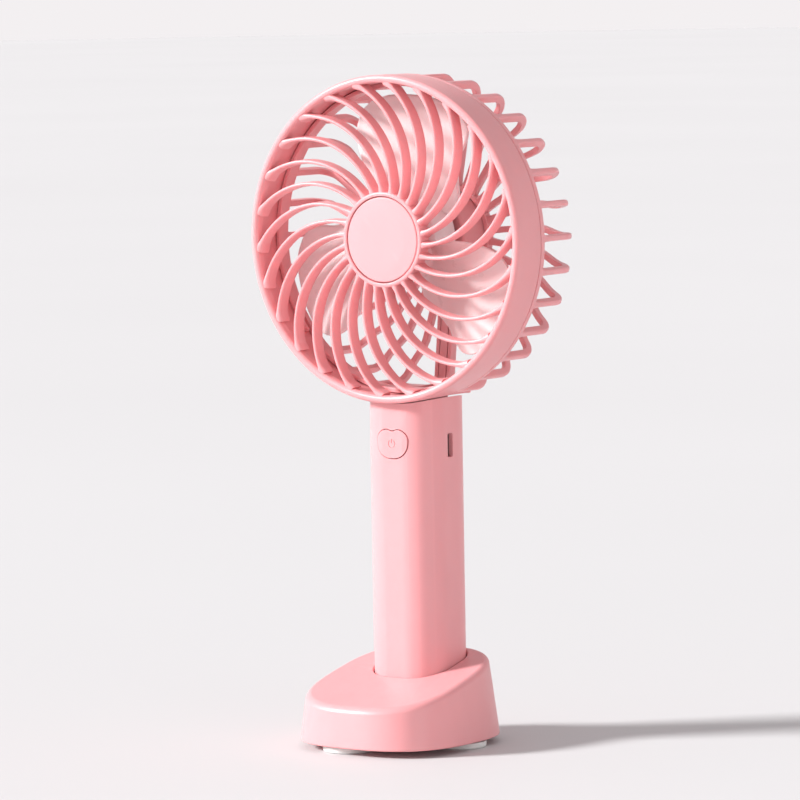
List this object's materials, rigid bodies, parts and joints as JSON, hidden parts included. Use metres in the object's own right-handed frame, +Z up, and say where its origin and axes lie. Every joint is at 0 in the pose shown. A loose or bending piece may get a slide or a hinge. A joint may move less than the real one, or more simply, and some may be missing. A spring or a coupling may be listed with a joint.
{
  "type": "handheld electric fan",
  "caption": "Pink handheld electric fan with a round caged head on a soft-square handle, standing upright in a low round sloping desk dock.",
  "frame": {"origin": "on the surface the dock's feet stand on, at the middle of the whole object's outline seen from above", "axes": "+Z up along the handle, -Y the way the air leaves the front grille, +X towards the side that holds the charging port"},
  "size_m": [0.105, 0.0654, 0.2154],
  "materials": {
    "cover_pink": "satin moulded pink plastic, a little light passing through thin ribs",
    "badge_pink": "satin, one shade lighter than the grille",
    "impeller_pale": "pale, slightly translucent pink plastic",
    "handle_pink": "satin moulded pink plastic",
    "button_pink": "satin moulded pink plastic",
    "dock_pink": "satin moulded pink plastic",
    "foot_silicone": "milky translucent silicone",
    "plated_steel": "nickel-plated steel",
    "black_plastic": "moulded black plastic",
    "dark_core": "laminated iron and bonded ferrite",
    "bearing_bronze": "sintered bronze, oil-dark",
    "lead_red": "smooth PVC insulation",
    "lead_black": "smooth PVC insulation",
    "white_nylon": "moulded white nylon",
    "cell_wrap": "shrink-wrapped blue film",
    "board_green": "solder-masked glass-epoxy board"
  },
  "bodies": {
    "dock": {"dock_body": "dock_pink", "dock_base_plate": "dock_pink", "dock_screw_1": "plated_steel", "dock_screw_2": "plated_steel", "dock_screw_3": "plated_steel", "foot_front": "foot_silicone", "foot_right": "foot_silicone", "foot_left": "foot_silicone"},
    "fan": {"rear_cover": "cover_pink", "duct_cover": "cover_pink", "rear_hub_cap": "cover_pink", "motor_cup": "cover_pink", "motor_can": "plated_steel", "motor_screw_left": "plated_steel", "motor_screw_right": "plated_steel", "motor_end_cap": "black_plastic", "motor_magnet": "dark_core", "front_bush": "bearing_bronze", "rear_bush": "bearing_bronze", "motor_lead_red": "lead_red", "motor_lead_black": "lead_black", "battery_lead_black": "lead_black", "battery_lead_red": "lead_red", "handle_sleeve": "handle_pink", "handle_bottom_cap": "handle_pink", "cap_screw": "plated_steel", "handle_chassis": "white_nylon", "neck_screw_left": "plated_steel", "neck_screw_right": "plated_steel", "board_screw_left": "plated_steel", "board_screw_right": "plated_steel", "battery_cell": "cell_wrap", "battery_tab_bottom": "plated_steel", "battery_tab_top": "plated_steel", "circuit_board": "board_green", "usb_socket": "plated_steel", "usb_tongue": "black_plastic", "tact_switch": "black_plastic"},
    "front_cover_group": {"front_cover": "cover_pink", "hub_badge": "badge_pink"},
    "impeller_group": {"impeller": "impeller_pale", "motor_shaft": "plated_steel", "motor_rotor": "dark_core"},
    "button_group": {"power_button": "button_pink", "switch_plunger": "black_plastic"}
  },
  "joints": [
    {"name": "fan_lift", "type": "slide", "parent": "dock", "child": "fan", "axis": [0, 0, 1], "range_m": [0, 0.04]},
    {"name": "cover_twist", "type": "hinge", "parent": "fan", "child": "front_cover_group", "pos_m": [0, -0.0083, 0.1629], "axis": [0, -1, 0], "range_deg": [0, 12]},
    {"name": "impeller_spin", "type": "hinge", "parent": "fan", "child": "impeller_group", "pos_m": [0, -0.0083, 0.1629], "axis": [0, -1, 0], "continuous": true},
    {"name": "button_press", "type": "slide", "parent": "fan", "child": "button_group", "axis": [0, 1, 0], "range_m": [0, 0.0006], "stiffness_N_per_m": 800}
  ]
}
